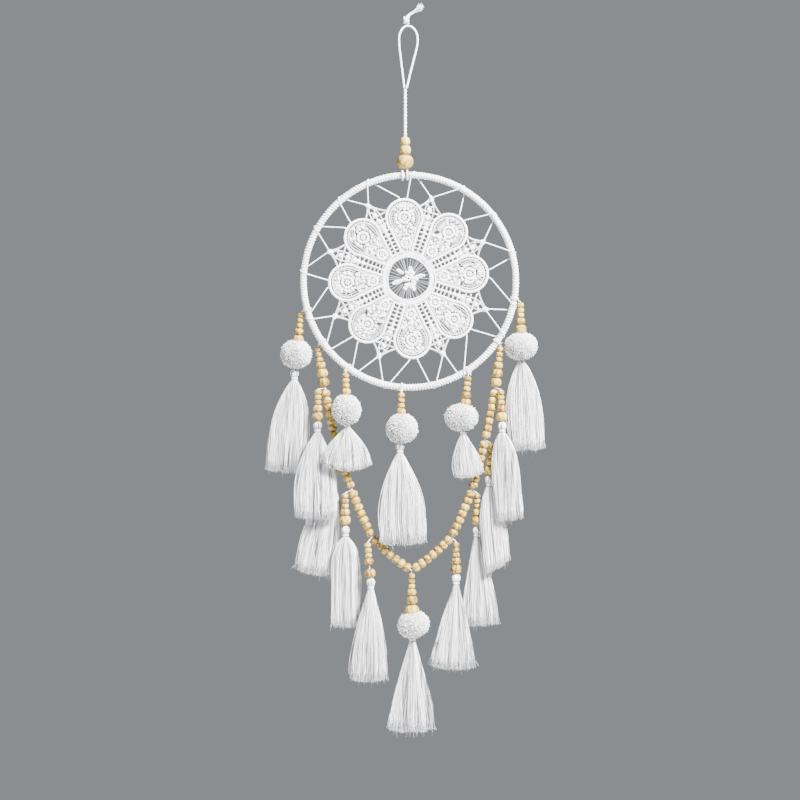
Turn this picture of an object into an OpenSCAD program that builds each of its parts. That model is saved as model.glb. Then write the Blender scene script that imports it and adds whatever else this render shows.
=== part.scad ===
// Boho dream catcher: a cord-wrapped hoop with a lace medallion laced into it, a beaded garland,
// and beaded strands with pompoms and tassels.
// Millimetres, +Z up, the front faces -Y. The origin is the top inside of the hanging loop,
// where the loop bears on its hook.

/* [Hoop] */
// Outer diameter of the wrapped hoop
hoop_d = 200; // [190:1:215]
// Thickness of the hoop with its cord wrap
tube_d = 6.2; // [5.6:0.1:6.4]
// Thickness of the metal ring inside the wrap
core_d = 3.2; // [2:0.1:4]
// Drop from the hook to the centre of the hoop
hoop_drop = 232; // [220:1:250]

/* [Lace] */
// Radius of the lace medallion at its petal tips
lace_r = 73.5; // [68:0.5:76]
// Thickness of the lace
lace_t = 1.6; // [1:0.1:2.4]
// Thickness of the lacing thread
lacing_d = 1.2; // [0.8:0.1:1.4]

/* [Cords] */
// Thickness of one strand of the hanging cord
hanger_d = 1.8; // [1.2:0.1:2]
// Thickness of the thread that the beads hang on
thread_d = 0.9; // [0.6:0.1:1.1]

/* [Beads] */
// Diameter of the small beads
small_d = 6.4; // [5.6:0.1:6.6]
// Diameter of the medium beads
medium_d = 8.5; // [7.5:0.1:9]
// Diameter of the large beads
large_d = 10; // [9:0.1:10.4]
// Diameter of the bead above the bottom pompom
jumbo_d = 13.5; // [12:0.1:14]
// Diameter of the garland beads
garland_d = 8.2; // [7:0.1:8.3]
// Length of the garland beads
garland_l = 6.3; // [5.6:0.1:6.4]
// Bore of every bead on a strand
bore_d = 1.5; // [1.3:0.1:2]

/* [Tassels] */
// Diameter of a tassel's head
head_d = 8; // [6:0.1:8.6]
// Depth of a tassel's skirt, front to back
skirt_depth = 5.6; // [4:0.1:5.8]
// Diameter of the pompoms
pompom_d = 27; // [22:0.5:27.5]

/* [Hidden] */

$fn = 48;
hoop_x = 1.4;            // the hoop's centre lies a little to the right of the hook
ring_r = (hoop_d - tube_d) / 2;
gap = 0.15;              // clearance between neighbouring pieces of one body
wrap_open = 2;           // degrees of the ring left open where the wrap's two ends meet

// Everything below the hook is laid out from the hoop's centre.
module from_hoop() translate([hoop_x, 0, -hoop_drop]) children();

function unit(v) = v / norm(v);
function lerp(a, b, t) = a + (b - a) * t;
function on_hoop(angle, r, y = 0) = [r * cos(angle), y, r * sin(angle)];

// ---- tubes and lofts -------------------------------------------------------------------

// The tangent at each point of a route, and a normal carried along it without twisting.
function tangent(p, i) = unit(p[min(i + 1, len(p) - 1)] - p[max(i - 1, 0)]);
function carried(n, t) = unit(n - (n * t) * t);
function normals(p, n, i = 0) =
    i == len(p) ? [] : let (m = carried(n, tangent(p, i))) concat([m], normals(p, m, i + 1));

// A closed skin over rings of points, all with the same number of points.
module skin(rings) {
    count = len(rings);
    sides = len(rings[0]);
    faces = concat(
        [[for (s = [sides - 1 : -1 : 0]) s]],
        [for (i = [0 : count - 2], s = [0 : sides - 1])
            [i * sides + s, i * sides + (s + 1) % sides,
             (i + 1) * sides + (s + 1) % sides, (i + 1) * sides + s]],
        [[for (s = [0 : sides - 1]) (count - 1) * sides + s]]
    );
    polyhedron([for (ring = rings, q = ring) q], faces, convexity = 8);
}

// A round tube along a route; radii holds one radius for each point of the route.
module tube(route, radii, start = [0, 1, 0], sides = 8) {
    n = normals(route, start);
    skin([for (i = [0 : len(route) - 1])
        let (b = cross(tangent(route, i), n[i]))
        [for (s = [0 : sides - 1])
            route[i] + radii[i] * (cos(360 * s / sides) * n[i] + sin(360 * s / sides) * b)]]);
}

module cord(route, d) tube(route, [for (q = route) d / 2]);

// ---- hanger ----------------------------------------------------------------------------

// The loop's route from its left foot over the hook to its right foot, from the origin.
LOOP = [
    [-3.5, 0, -56], [-4.2, 0, -49], [-5.1, 0, -42], [-6, 0, -35], [-6.8, 0, -28],
    [-7.6, 0, -21], [-8.2, 0, -14], [-8, 0, -8], [-6.2, 0, -3], [-3.4, 0, 0],
    [0, 0, 1], [3.4, 0, 0], [6.4, 0, -3], [8.4, 0, -8], [8.6, 0, -14],
    [7.4, 0, -21], [5.6, 0, -28], [3.8, 0, -35], [2, 0, -42], [0.4, 0, -49], [-1.3, 0, -56],
];
// The knot above the hook and its frayed tail.
TAIL = [
    [-2.2, 0, 3.6], [-2, 0, 5.2], [-1.6, 0, 7.4], [-0.8, 0, 9.4], [1.4, 0, 11.2],
    [5, 0, 13.6], [9, 0, 17], [13, 0, 20],
];
TAIL_R = [1.2, 2.6, 3.1, 2.4, 1.2, 1.3, 2.6, 3.2];

module hanger_loop() color("white") {
    cord(LOOP, hanger_d);
    tube(TAIL, TAIL_R);
}

// From here on every place is measured from the hoop's centre.
stem_x = -4;             // where the stem meets the hoop
stem_top = 174.5;
stem_d = 2.9;            // the two strands twisted together
stem_bore = 3.4;
// [height of the centre, diameter, length] of the three beads on the stem
STEM_BEADS = [[127.6, 8.8, 7.4], [119.6, 10.3, 8.4], [108.9, 14.6, 12.6]];
stem_foot = 102.5;

module stem_cord() color("white") from_hoop()
    translate([stem_x, 0, stem_foot]) cylinder(h = stem_top - stem_foot, d = stem_d);

module stem_beads() color("wheat") from_hoop()
    for (b = STEM_BEADS) translate([stem_x, 0, b[0]]) bead(b[1], b[2], stem_bore);

// ---- beads -----------------------------------------------------------------------------

// A turned wooden bead: a ball with flat ends, bored through, its axis along Z.
module bead(d, l, bore = bore_d) difference() {
    intersection() {
        sphere(d = d);
        cube([d + 1, d + 1, l], center = true);
    }
    cylinder(h = l + 1, d = bore, center = true);
}

// Turns a piece made along Z so that it lies along the direction v, and moves it to p.
module aim(p, v) {
    u = unit(v);
    translate(p) rotate([0, acos(u[2]), atan2(u[1], u[0])]) children();
}

// A strand's beads by letter: their diameters and their lengths along the thread.
// A dot stands for a short length of bare thread.
function bead_d(c) = c == "s" ? small_d : c == "m" ? medium_d : c == "l" ? large_d : jumbo_d;
function bead_l(c) =
    c == "." ? 3.2 : bead_d(c) * (c == "s" ? 0.7 : c == "m" ? 0.74 : c == "l" ? 0.82 : 0.85);
// How far a bead's centre lies below the centre of the strand's first bead.
function bead_at(kinds, i) =
    i == 0 ? 0 : bead_at(kinds, i - 1) + (bead_l(kinds[i - 1]) + bead_l(kinds[i])) / 2 + gap;

module bead_row(first, along, kinds)
    for (i = [0 : len(kinds) - 1]) if (kinds[i] != ".")
        aim(first + unit(along) * bead_at(kinds, i), along) bead(bead_d(kinds[i]), bead_l(kinds[i]));

// ---- hoop and lace ---------------------------------------------------------------------

// Turns a ring made about Z to stand upright and face the front.
module upright() rotate([90, 0, 0]) children();

module hoop_core() color("silver") from_hoop() upright()
    rotate_extrude($fn = 96) translate([ring_r, 0]) circle(d = core_d);

module hoop_wrap() color("white") from_hoop() upright()
    rotate([0, 0, 90 + wrap_open])
        rotate_extrude(angle = 360 - wrap_open, $fn = 96)
            translate([ring_r, 0]) difference() {
                circle(d = tube_d);
                circle(d = core_d + 0.1);
            }

lace_at = [-1, 0, 2.4];  // the lace is laced in a little off the hoop's centre
lace_turn = 93.6;        // angle of the first petal
// How far each ladder's tip leans from the middle between its petals, in degrees, clockwise round.
LEAN = [3, 0, -3, -1.5, -2, 1, 0, 3];
hub_in = 19;
hub_out = 24;
petal_r = 17.6;          // round end of a petal
rib_w = 8;               // ladder between two petals at its inner end

// One petal along +X: a teardrop from the hub to the rim, pierced round its two rosettes.
module petal() {
    middle = lace_r - petal_r;
    difference() {
        union() {
            translate([middle, 0]) circle(petal_r);
            polygon([[hub_in + 2, -4.6], [middle - 7, -16.2], [middle - 7, 16.2], [hub_in + 2, 4.6]]);
        }
        for (a = [0 : 40 : 320])
            translate([middle, 0]) rotate(a) translate([11.6, 0]) circle(1.7, $fn = 6);
        for (side = [-1, 1]) {
            translate([middle - 11, 0]) rotate(side * 17) translate([0, side * 10.2])
                square([11, 1.8], center = true);
            translate([hub_in + 11, side * 4.6]) rotate(side * 20) square([9, 1.4], center = true);
        }
    }
}

// The ladder, net and picot between two petals, along +X. Its outer end leans by some degrees.
module ladder(lean) {
    tip = lace_r + 1.5;
    aside = tip * tan(lean);
    difference() {
        polygon([[hub_in + 2, -3], [hub_in + 2, 3], [tip - 14, rib_w], [tip - 2, 1 + 0.9 * aside],
                 [tip, aside], [tip - 2, 0.9 * aside - 1], [tip - 14, -rib_w]]);
        for (k = [0 : 5], side = [-1, 1])
            translate([30 + 5 * k, side * (1.3 + 0.32 * k)])
                square([2.2 + 0.15 * k, 1 + 0.28 * k], center = true);
        for (k = [0 : 2]) translate([61 + 4.2 * k, k * aside / 3]) circle(1.7 - 0.2 * k, $fn = 4);
        for (side = [-1, 1]) translate([63, side * 3.9 + aside / 5]) circle(1.6, $fn = 4);
    }
    translate([tip, aside]) circle(1.8);
}

// Gives a flat shape the lace's thickness.
module slab() linear_extrude(lace_t, center = true) children();

module lace_medallion() color("white") from_hoop() translate(lace_at) upright() {
    slab() difference() {
        circle(hub_out);
        circle(hub_in);
    }
    for (k = [0 : 7]) rotate(lace_turn - 45 * k) {
        slab() petal();
        rotate(-22.5) slab() ladder(LEAN[k]);
    }
    for (k = [0 : 35]) rotate(10 * k) slab() translate([8, -0.35]) square([hub_in - 7, 0.7]);
    slab() difference() {
        union() {
            circle(7);
            for (k = [0 : 5]) rotate(60 * k) translate([6.6, 0]) circle(3.2);
        }
        circle(2.2);
    }
}

// Where the lacing thread turns round the hoop, clockwise from the top, one turn between
// two neighbouring lace points; it is laced by hand, so the turns aren't evenly spaced.
LACING = [87.5, 60, 38, 15, -14, -30.5, -60.5, -77, -103, -121.5, -141, -160.5, -186, -210, -230, -248];
lacing_wide = 1.8;       // half the width of one turn along the hoop, in degrees

function lace_tip(k) = k % 2 == 0 ? lace_r + 0.1 : lace_r + 3.6;
function lace_angle(k) = lace_turn - 22.5 * k + (k % 2 == 1 ? LEAN[(k - 1) / 2] : 0);

// The thread passes through the lace's edge in a small bight.
function bight(k) = [
    lace_at + on_hoop(lace_angle(k) + 1.1, lace_tip(k) + 2.2),
    lace_at + on_hoop(lace_angle(k), lace_tip(k) + 0.8),
    lace_at + on_hoop(lace_angle(k) - 1.1, lace_tip(k) + 2.2),
];
// It then comes to the front of the hoop, goes over its outside and returns behind it.
function turn(angle) = let (r = tube_d / 2 + lacing_d / 2 + 0.2)
    [for (a = [60 : 30 : 300])
        on_hoop(angle + lacing_wide * (180 - a) / 120, ring_r - r * cos(a), -r * sin(a))];

module lacing_thread() color("white") from_hoop()
    cord(concat(
        [bight(0)[2]],
        [for (k = [0 : 15]) for (q = k < 15 ? concat(turn(LACING[k]), bight(k + 1)) : turn(LACING[k])) q],
        [bight(0)[0]]
    ), lacing_d);

// ---- strands ---------------------------------------------------------------------------

front = -3.4;            // knots that sit at the front and at the back of the hoop
back = 3.4;
knot_r = 1.3;
tie_d = 0.9;

// Angles of the ties on the hoop: those in front, then those behind.
FRONT_TIES = [-125.4, -94.3, -56.8];
BACK_TIES = [-164.7, -145.3, -34.5, -9.4];
hitch_d = 1.8;
HITCH = [91.2, 93.8];

function tie_knot(angle, y) = on_hoop(angle, ring_r + 3.1, y);

// A ring of thread round the hoop's tube at an angle of the hoop.
module round_tube(angle, d)
    rotate([0, -angle, 0]) translate([ring_r, 0, 0])
        rotate_extrude() translate([tube_d / 2 + d / 2 + gap, 0]) circle(d = d);

module tie(angle, y) {
    round_tube(angle, tie_d);
    translate(tie_knot(angle, y)) sphere(knot_r);
}

module strand_ties() color("white") from_hoop() {
    for (a = FRONT_TIES) tie(a, front);
    for (a = BACK_TIES) tie(a, back);
    for (a = HITCH) round_tube(a, hitch_d);
}

// Each strand: [knot it hangs from, first bead, tassel head, kinds of its beads, pompom's centre
// or 0, left end of the hem, right end of the hem, how full the skirt is].
L1 = [tie_knot(-164.7, back), [-99.3, 4.2, -31], [-105.4, 6.5, -84], "sssml", [-103.9, 5.2, -66.3],
      [-132.6, 10.6, -177], [-96, 10.6, -177], 4];
L3 = [tie_knot(-125.4, front), [-58.2, -4.6, -86], [-56.6, -6, -126.8], "sssm", [-57.5, -6, -117.2],
      [-79.8, -4.8, -174], [-34.2, -4.8, -174], 1.8];
C = [tie_knot(-94.3, front), [-7.4, -4.6, -104], [-8.8, -5, -150.6], "sssm", [-7, -5, -134.3],
     [-26, -4.8, -242], [16, -4.8, -242], 2.8];
R3 = [tie_knot(-56.8, front), [53, -4.6, -89], [48.6, -5.4, -133.4], "sssml", [47, -5.4, -124.2],
      [40.4, -4.8, -180], [68.4, -4.8, -180], 2];
R1 = [tie_knot(-9.4, back), [101.4, 4.2, -21.5], [102.4, 5.2, -66.4], "sssml", [101.8, 4.6, -59.2],
      [91, 8, -157], [124.4, 8, -157], 4];

// The garland's knots from left to right: its two lead knots stand at both ends.
garland_y = 4.2;
KNOTS = [
    [-77.5, garland_y, -97.4], [-67.4, garland_y, -144.8], [-52.8, garland_y, -190.4],
    [-34.2, garland_y, -233.4], [2, garland_y, -264], [38.3, garland_y, -233.3],
    [57, garland_y, -190.4], [69, garland_y, -144.8], [78.2, garland_y, -97.4],
];
SAGS = [0.6, 0.6, 0.8, 1.7, 1.7, 0.8, 0.6, 0.6];
LEAD_LEFT = [[-83.4, garland_y, -62], [-78.3, garland_y, -92.6]];
LEAD_RIGHT = [[83, garland_y, -62], [79, garland_y, -92.6]];
LEAD_KINDS = "sssmll";
RUN_BEADS = 7;

L2 = [KNOTS[0], [-83.6, 1, -101.2], [-84, 2, -131.6], "sssml", 0,
      [-106, 2.2, -219], [-66, 2.2, -219], 3];
LA = [KNOTS[1], [-70.7, 9.8, -151.6], [-70.5, 10.4, -181.6], "sssml", 0,
      [-106, 12.4, -272], [-66, 12.4, -272], 3];
LB = [KNOTS[2], [-58.9, 4, -196], [-58.6, 5.4, -227.4], "sssml", 0,
      [-71.6, 6.4, -318], [-43.6, 6.4, -318], 8];
LC = [KNOTS[3], [-38.2, -1.6, -240.8], [-35.4, -3, -274.4], "sssm.l", 0,
      [-55.8, -3.4, -366], [-19.6, -3.4, -366], 1.6];
B = [KNOTS[4], [1.8, 4.2, -269.2], [2.6, 4.2, -322.8], "sssmlj", [3.4, 4.2, -313.6],
     [-21, 4.2, -414], [23.6, 4.2, -414], 1.35];
RC = [KNOTS[5], [42.4, 2.5, -240.6], [42.6, 2.5, -271], "sssml", 0,
      [16.6, 2.5, -356], [62.6, 2.5, -356], 1.1];
RB = [KNOTS[6], [62, 9, -196.4], [61.8, 12, -227.9], "sssml", 0,
      [48, 12.6, -317.4], [82, 12.6, -317.4], 1.4];
RA = [KNOTS[7], [75, 8.4, -150.8], [72.8, 5.4, -181.2], "sssml", 0,
      [69, 5, -269], [92.8, 5, -259], 5];
R2 = [KNOTS[8], [83.2, -1, -101.4], [84.4, -1.6, -131.8], "sssml", 0,
      [79.4, -1.8, -219.6], [104.4, -1.8, -219.6], 7];

function ahead(a, b, d) = a + unit(b - a) * d;

// The thread starts just below its knot, runs down the beads and ends inside the tassel's head.
module strand_cord(s) color("white") from_hoop() {
    top = s[1] + [0, 0, bead_l("s") / 2 + 0.4];
    cord([ahead(s[0], top, knot_r + 0.35), lerp(ahead(s[0], top, knot_r + 0.35), top, 0.6),
          top, s[1], lerp(s[1], s[2], 0.5), s[2]], thread_d);
}

module strand_beads(s) color("wheat") from_hoop() bead_row(s[1], s[2] - s[1], s[3]);

// A yarn ball, hollowed where the last bead and the tassel's head sink into its pile.
module strand_pompom(s) color("white") from_hoop() {
    along = s[2] - s[1];
    last = len(s[3]) - 1;
    difference() {
        translate(s[4]) sphere(d = pompom_d);
        aim(s[1] + unit(along) * bead_at(s[3], last), along)
            translate([0, 0, -large_d]) cylinder(
                h = large_d + bead_l(s[3][last]) / 2 + 0.2, d = bead_d(s[3][last]) + 0.6);
        aim(s[1], along) cylinder(h = norm(along) + pompom_d, d = bore_d);
        translate(s[2] + [0, 0, -head_d]) cylinder(h = 1.5 * head_d + 0.2, d = head_d + 0.6);
    }
}

// A tassel's outline below the centre of its head, as shares of the head's radius.
HEAD = [[0.9, 0.45], [0.68, 0.78], [0.2, 1], [-0.3, 0.98], [-0.7, 0.8], [-0.95, 0.62]];
neck_r = 0.62 * head_d / 2;
neck_h = 1.6;
// How far down each ring of the skirt lies, as a share of the skirt's length.
SKIRT = [0, 0.04, 0.1, 0.2, 0.35, 0.55, 0.78, 1];

// One ring of the skirt, t of the way down. A skirt of fullness 1 is a cone, a fuller one a bell.
// The threads that lean outwards end higher than the one that hangs straight.
function skirt_ring(top, left, right, t, full, sides) =
    let (middle = lerp(top, (left + right) / 2, t),
         long = norm(top - (left + right) / 2),
         w = lerp(neck_r + 0.6, (right[0] - left[0]) / 2, 1 - pow(1 - t, full)),
         d = lerp(neck_r + 0.4, skirt_depth / 2, min(1, 3 * t)))
    [for (s = [0 : sides - 1])
        let (a = 360 * s / sides,
             end = lerp(left, right, (1 + cos(a)) / 2),
             rise = long - sqrt(long * long - pow(end[0] - top[0], 2)))
        [middle[0] + w * cos(a), middle[1] + d * sin(a), lerp(top[2], end[2], t) + t * t * rise]];

module tassel(head, left, right, full) {
    r = head_d / 2;
    sides = 16;
    neck = head + [0, 0, -0.95 * r - neck_h];
    skin(concat(
        [for (h = HEAD) [for (s = [0 : sides - 1])
            head + [h[1] * r * cos(360 * s / sides), h[1] * r * sin(360 * s / sides), h[0] * r]]],
        [[for (s = [0 : sides - 1]) neck + neck_r * [cos(360 * s / sides), sin(360 * s / sides), 0]]],
        [for (t = SKIRT) skirt_ring(neck + [0, 0, -0.9], left, right, t, full, sides)]
    ));
    translate(neck) difference() {
        cylinder(h = neck_h - 0.1, r = neck_r + 0.8);
        translate([0, 0, -1]) cylinder(h = neck_h + 2, r = neck_r + 0.1);
    }
}

module strand_tassel(s) color("white") from_hoop() tassel(s[2], s[5], s[6], s[7]);

// ---- garland ---------------------------------------------------------------------------

// The side of a line to which it sags, and a point of one run of the garland at t from 0 to 1.
function down(a, b) = let (u = unit(b - a), n = [u[2], 0, -u[0]]) n[2] > 0 ? -n : n;
function run_point(i, t) =
    lerp(KNOTS[i], KNOTS[i + 1], t) + 4 * SAGS[i] * t * (1 - t) * down(KNOTS[i], KNOTS[i + 1]);

module run_beads(i) {
    length = norm(KNOTS[i + 1] - KNOTS[i]);
    pitch = (garland_l + 0.12) / length;
    // the beads of the two lowest runs sit higher, clear of the knot between them
    shift = i == 3 ? -0.4 / length : i == 4 ? 0.4 / length : 0;
    for (k = [0 : RUN_BEADS - 1]) {
        t = 0.5 + shift + (k - (RUN_BEADS - 1) / 2) * pitch;
        aim(run_point(i, t), run_point(i, t + 0.01) - run_point(i, t - 0.01)) bead(garland_d, garland_l);
    }
}

module garland_beads_left() color("wheat") from_hoop() for (i = [0 : 3]) run_beads(i);
module garland_beads_right() color("wheat") from_hoop() for (i = [4 : 7]) run_beads(i);

module lead_beads() color("wheat") from_hoop() {
    bead_row(LEAD_LEFT[0], LEAD_LEFT[1] - LEAD_LEFT[0], LEAD_KINDS);
    bead_row(LEAD_RIGHT[0], LEAD_RIGHT[1] - LEAD_RIGHT[0], LEAD_KINDS);
}

// The garland's thread, with a knot wherever a strand hangs from it.
module garland_cord() color("white") from_hoop() {
    rise = [0, 0, bead_l("s") / 2 + 1];
    starts = [ahead(tie_knot(-145.3, back), LEAD_LEFT[0] + rise, knot_r + 0.35),
              ahead(tie_knot(-34.5, back), LEAD_RIGHT[0] + rise, knot_r + 0.35)];
    inner = [for (i = [0 : 7]) for (t = i == 0 ? [0.3, 0.7] : [0, 0.3, 0.7]) run_point(i, t)];
    inner_r = [for (i = [0 : 7]) for (t = i == 0 ? [0.3, 0.7] : [0, 0.3, 0.7])
        t == 0 ? 0.6 : thread_d / 2];
    tube(
        concat([starts[0], LEAD_LEFT[0] + rise, LEAD_LEFT[0], LEAD_LEFT[1], KNOTS[0]], inner,
               [KNOTS[8], LEAD_RIGHT[1], LEAD_RIGHT[0], LEAD_RIGHT[0] + rise, starts[1]]),
        concat([for (k = [0 : 3]) thread_d / 2], [0.6], inner_r, [0.6],
               [for (k = [0 : 3]) thread_d / 2])
    );
}

hanger_loop();
stem_cord();
stem_beads();
hoop_core();
hoop_wrap();
lace_medallion();
lacing_thread();
strand_ties();
garland_cord();
garland_beads_left();
garland_beads_right();
lead_beads();
strand_cord(L1);  // cord_l1
strand_beads(L1);  // beads_l1
strand_pompom(L1);  // pompom_l1
strand_tassel(L1);  // tassel_l1
strand_cord(L3);  // cord_l3
strand_beads(L3);  // beads_l3
strand_pompom(L3);  // pompom_l3
strand_tassel(L3);  // tassel_l3
strand_cord(C);  // cord_c
strand_beads(C);  // beads_c
strand_pompom(C);  // pompom_c
strand_tassel(C);  // tassel_c
strand_cord(R3);  // cord_r3
strand_beads(R3);  // beads_r3
strand_pompom(R3);  // pompom_r3
strand_tassel(R3);  // tassel_r3
strand_cord(R1);  // cord_r1
strand_beads(R1);  // beads_r1
strand_pompom(R1);  // pompom_r1
strand_tassel(R1);  // tassel_r1
strand_cord(L2);  // cord_l2
strand_beads(L2);  // beads_l2
strand_tassel(L2);  // tassel_l2
strand_cord(LA);  // cord_la
strand_beads(LA);  // beads_la
strand_tassel(LA);  // tassel_la
strand_cord(LB);  // cord_lb
strand_beads(LB);  // beads_lb
strand_tassel(LB);  // tassel_lb
strand_cord(LC);  // cord_lc
strand_beads(LC);  // beads_lc
strand_tassel(LC);  // tassel_lc
strand_cord(B);  // cord_b
strand_beads(B);  // beads_b
strand_pompom(B);  // pompom_b
strand_tassel(B);  // tassel_b
strand_cord(RC);  // cord_rc
strand_beads(RC);  // beads_rc
strand_tassel(RC);  // tassel_rc
strand_cord(RB);  // cord_rb
strand_beads(RB);  // beads_rb
strand_tassel(RB);  // tassel_rb
strand_cord(RA);  // cord_ra
strand_beads(RA);  // beads_ra
strand_tassel(RA);  // tassel_ra
strand_cord(R2);  // cord_r2
strand_beads(R2);  // beads_r2
strand_tassel(R2);  // tassel_r2
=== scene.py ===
"""Looks of the dream catcher: wound hoop, guipure lace, lacing, beads, pompoms and tassels."""

import math

import bpy
import numpy as np
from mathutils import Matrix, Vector


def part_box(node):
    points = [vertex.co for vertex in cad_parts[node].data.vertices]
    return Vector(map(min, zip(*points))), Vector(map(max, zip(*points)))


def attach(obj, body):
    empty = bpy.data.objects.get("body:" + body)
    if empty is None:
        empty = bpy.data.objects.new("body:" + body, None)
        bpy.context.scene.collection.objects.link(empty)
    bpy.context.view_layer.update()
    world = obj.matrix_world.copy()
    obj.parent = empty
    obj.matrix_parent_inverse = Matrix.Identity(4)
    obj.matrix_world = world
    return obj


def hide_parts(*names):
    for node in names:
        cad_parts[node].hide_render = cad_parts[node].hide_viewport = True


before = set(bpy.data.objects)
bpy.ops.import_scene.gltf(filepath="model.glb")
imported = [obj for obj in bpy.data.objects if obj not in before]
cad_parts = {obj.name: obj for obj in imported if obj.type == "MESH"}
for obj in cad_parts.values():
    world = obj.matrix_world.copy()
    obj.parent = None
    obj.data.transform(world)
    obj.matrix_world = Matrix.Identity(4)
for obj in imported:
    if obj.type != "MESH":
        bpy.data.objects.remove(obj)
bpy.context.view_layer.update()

MM = 0.001
rng = np.random.default_rng(7)

# ---- measures read from the frame, in millimetres ----


def box_mm(node):
    low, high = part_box(node)
    return np.array(low) / MM, np.array(high) / MM


core_low, core_high = box_mm("hoop_core")
wrap_low, wrap_high = box_mm("hoop_wrap")
HOOP = (core_low + core_high) / 2
CORE_D = core_high[1] - core_low[1]
RING_R = (core_high[0] - core_low[0] - CORE_D) / 2
TUBE_D = wrap_high[1] - wrap_low[1]

# ---- the cords' routes, as part.scad lays them, in millimetres ----

LOOP = [
    (-3.5, 0, -56), (-4.2, 0, -49), (-5.1, 0, -42), (-6, 0, -35), (-6.8, 0, -28),
    (-7.6, 0, -21), (-8.2, 0, -14), (-8, 0, -8), (-6.2, 0, -3), (-3.4, 0, 0),
    (0, 0, 1), (3.4, 0, 0), (6.4, 0, -3), (8.4, 0, -8), (8.6, 0, -14),
    (7.4, 0, -21), (5.6, 0, -28), (3.8, 0, -35), (2, 0, -42), (0.4, 0, -49), (-1.3, 0, -56),
]
LOOP_D = 1.8
STEM_X, STEM_TOP, STEM_FOOT, STEM_D = -4, 175.6, 102.5, 2.9
THREAD_D = 0.9
KNOT_R = 1.3
KNOT_OUT = 3.1
# The angles of the ties on the hoop, those in front and those behind.
FRONT_TIES = {"l3": -125.4, "c": -94.3, "r3": -56.8}
BACK_TIES = {"l1": -164.7, "lead_left": -145.3, "lead_right": -34.5, "r1": -9.4}
TIE_Y = 3.4
TIE_D = 0.9
HITCH = (91.2, 93.8)
HITCH_D = 1.8
G = 4.2
KNOTS = [
    (-77.5, G, -97.4), (-67.4, G, -144.8), (-52.8, G, -190.4), (-34.2, G, -233.4), (2, G, -264),
    (38.3, G, -233.3), (57, G, -190.4), (69, G, -144.8), (78.2, G, -97.4),
]
SAGS = [0.6, 0.6, 0.8, 1.7, 1.7, 0.8, 0.6, 0.6]
LEAD_LEFT = [(-83.4, G, -62), (-78.3, G, -92.6)]
LEAD_RIGHT = [(83, G, -62), (79, G, -92.6)]


def on_hoop(angle, r, y=0.0):
    a = math.radians(angle)
    return (r * math.cos(a), y, r * math.sin(a))


def tie_knot(name):
    if name in FRONT_TIES:
        return on_hoop(FRONT_TIES[name], RING_R + KNOT_OUT, -TIE_Y)
    return on_hoop(BACK_TIES[name], RING_R + KNOT_OUT, TIE_Y)


# Each strand: the place of its knot, of its first bead and of its tassel's head.
STRANDS = {
    "l1": (tie_knot("l1"), (-99.3, 4.2, -31), (-105.4, 6.5, -84)),
    "l3": (tie_knot("l3"), (-58.2, -4.6, -86), (-56.6, -6, -126.8)),
    "c": (tie_knot("c"), (-7.4, -4.6, -104), (-8.8, -5, -150.6)),
    "r3": (tie_knot("r3"), (53, -4.6, -89), (48.6, -5.4, -133.4)),
    "r1": (tie_knot("r1"), (101.4, 4.2, -21.5), (102.4, 5.2, -66.4)),
    "l2": (KNOTS[0], (-83.6, 1, -101.2), (-84, 2, -131.6)),
    "la": (KNOTS[1], (-70.7, 9.8, -151.6), (-70.5, 10.4, -181.6)),
    "lb": (KNOTS[2], (-58.9, 4, -196), (-58.6, 5.4, -227.4)),
    "lc": (KNOTS[3], (-38.2, -1.6, -240.8), (-35.4, -3, -274.4)),
    "b": (KNOTS[4], (1.8, 4.2, -269.2), (2.6, 4.2, -322.8)),
    "rc": (KNOTS[5], (42.4, 2.5, -240.6), (42.6, 2.5, -271)),
    "rb": (KNOTS[6], (62, 9, -196.4), (61.8, 12, -227.9)),
    "ra": (KNOTS[7], (75, 8.4, -150.8), (72.8, 5.4, -181.2)),
    "r2": (KNOTS[8], (83.2, -1, -101.4), (84.4, -1.6, -131.8)),
}
POMPOMS = ("l1", "l3", "c", "r3", "r1", "b")

# ---- camera, light and floor ----


def make_camera():
    """The photograph's view: straight on, the image centre a little left of the hoop's."""
    cam = bpy.data.objects.new("camera", bpy.data.cameras.new("camera"))
    cam.data.lens = 85
    cam.data.sensor_width = 36
    width, aim_x, aim_z = 0.7299, -0.0073, -0.3403
    cam.location = (aim_x, -width * cam.data.lens / cam.data.sensor_width, aim_z)
    cam.rotation_euler = (math.radians(90), 0, 0)
    bpy.context.scene.collection.objects.link(cam)
    bpy.context.scene.camera = cam


def make_light(name, place, target, size, power, colour=(1, 1, 1)):
    lamp = bpy.data.lights.new(name, "AREA")
    lamp.size, lamp.energy, lamp.color = size, power, colour
    obj = bpy.data.objects.new(name, lamp)
    obj.location = place
    obj.rotation_euler = (Vector(target) - Vector(place)).to_track_quat("-Z", "Y").to_euler()
    bpy.context.scene.collection.objects.link(obj)


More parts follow.
